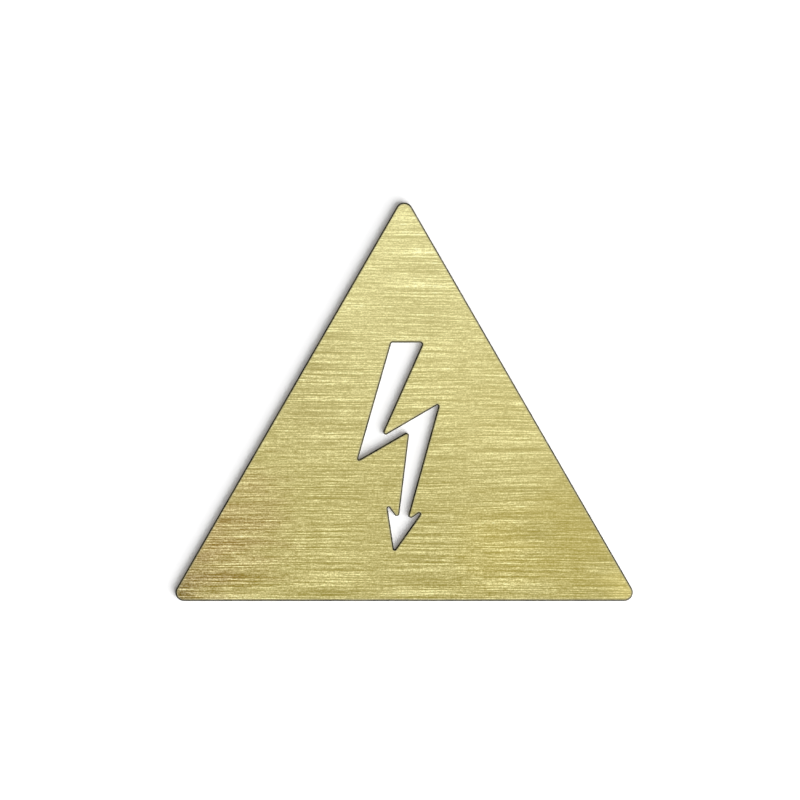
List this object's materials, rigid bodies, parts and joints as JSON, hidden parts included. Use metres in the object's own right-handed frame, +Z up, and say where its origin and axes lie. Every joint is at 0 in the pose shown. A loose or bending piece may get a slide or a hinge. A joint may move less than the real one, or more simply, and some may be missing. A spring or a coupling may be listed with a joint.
{
  "type": "electrical hazard sign",
  "caption": "Flat triangular sign plate with round corners and a lightning bolt with an arrow head cut through it, fixed by its back face.",
  "frame": {"origin": "on the back face, in the middle of the sign's overall width and height", "axes": "+X to the right seen from the front, +Y from the front face to the back face and into the wall or door behind it, +Z up towards the top corner"},
  "size_m": [0.1, 0.0015, 0.0872],
  "materials": {
    "brushed_brass": "brushed along the sign's width on its front face, with dark cut edges and light tarnish"
  },
  "bodies": {
    "root": {"sign_plate": "brushed_brass"}
  },
  "joints": []
}
